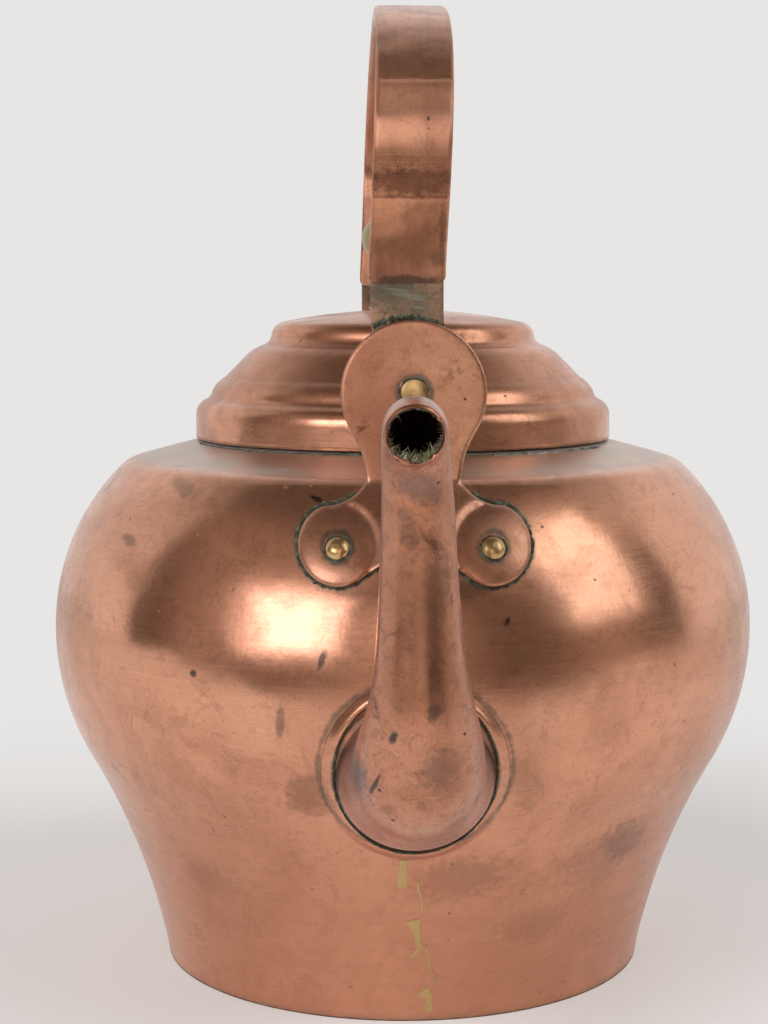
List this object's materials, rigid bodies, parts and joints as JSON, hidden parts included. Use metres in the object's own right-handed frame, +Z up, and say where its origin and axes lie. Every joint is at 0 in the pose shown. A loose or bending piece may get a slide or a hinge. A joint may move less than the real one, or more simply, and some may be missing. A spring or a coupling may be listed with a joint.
{
  "type": "copper kettle",
  "caption": "Round-bellied copper kettle with a swan-neck spout, a stepped lift-off lid with a brass knob, and a strap handle that swings on two riveted trefoil brackets.",
  "frame": {"origin": "centre of the foot, on the surface the kettle stands on", "axes": "+Z up through the lid's knob; the spout points to -Y; +X to the right as seen from the spout; the handle lies in the YZ plane"},
  "size_m": [0.24, 0.3099, 0.3238],
  "materials": {
    "body_copper": "polished copper with fine hand-rubbed scratches",
    "base_copper": "worn copper",
    "neck_copper": "dull copper",
    "spout_copper": "satin copper with dark spots",
    "bracket_copper": "satin copper, green in the crevices",
    "handle_copper": "brushed copper",
    "ear_copper": "dark copper with verdigris",
    "lid_copper": "polished copper",
    "rivet_brass": "polished brass",
    "knob_brass": "dull yellow brass",
    "tinned_copper": "tinned, grey",
    "tin_solder": "soft solder, grey"
  },
  "bodies": {
    "kettle_body": {"body_shell": "body_copper", "base_disc": "base_copper", "base_solder": "tin_solder", "neck_collar": "neck_copper", "neck_solder": "tin_solder", "spout": "spout_copper", "spout_collar": "body_copper", "front_bracket": "bracket_copper", "rear_bracket": "bracket_copper", "front_bracket_rivets": "rivet_brass", "rear_bracket_rivets": "rivet_brass", "front_rivet_burrs": "tinned_copper", "rear_rivet_burrs": "tinned_copper", "front_pivot_pin": "rivet_brass", "rear_pivot_pin": "rivet_brass", "front_pivot_spacer": "tinned_copper", "rear_pivot_spacer": "tinned_copper", "front_pivot_burr": "tinned_copper", "rear_pivot_burr": "tinned_copper"},
    "handle": {"handle_grip": "handle_copper", "front_handle_ear": "ear_copper", "rear_handle_ear": "ear_copper"},
    "lid": {"lid_shell": "lid_copper", "lid_flange": "tinned_copper", "knob_base": "knob_brass", "lid_knob": "knob_brass", "knob_stud": "knob_brass", "knob_nut": "knob_brass"}
  },
  "joints": [
    {"name": "handle_swing", "type": "hinge", "parent": "kettle_body", "child": "handle", "pos_m": [0, 0, 0.1988], "axis": [0, 1, 0], "range_deg": [-100, 100]},
    {"name": "lid_lift", "type": "slide", "parent": "kettle_body", "child": "lid", "axis": [0, 0, 1], "range_m": [0, 0.05]}
  ]
}
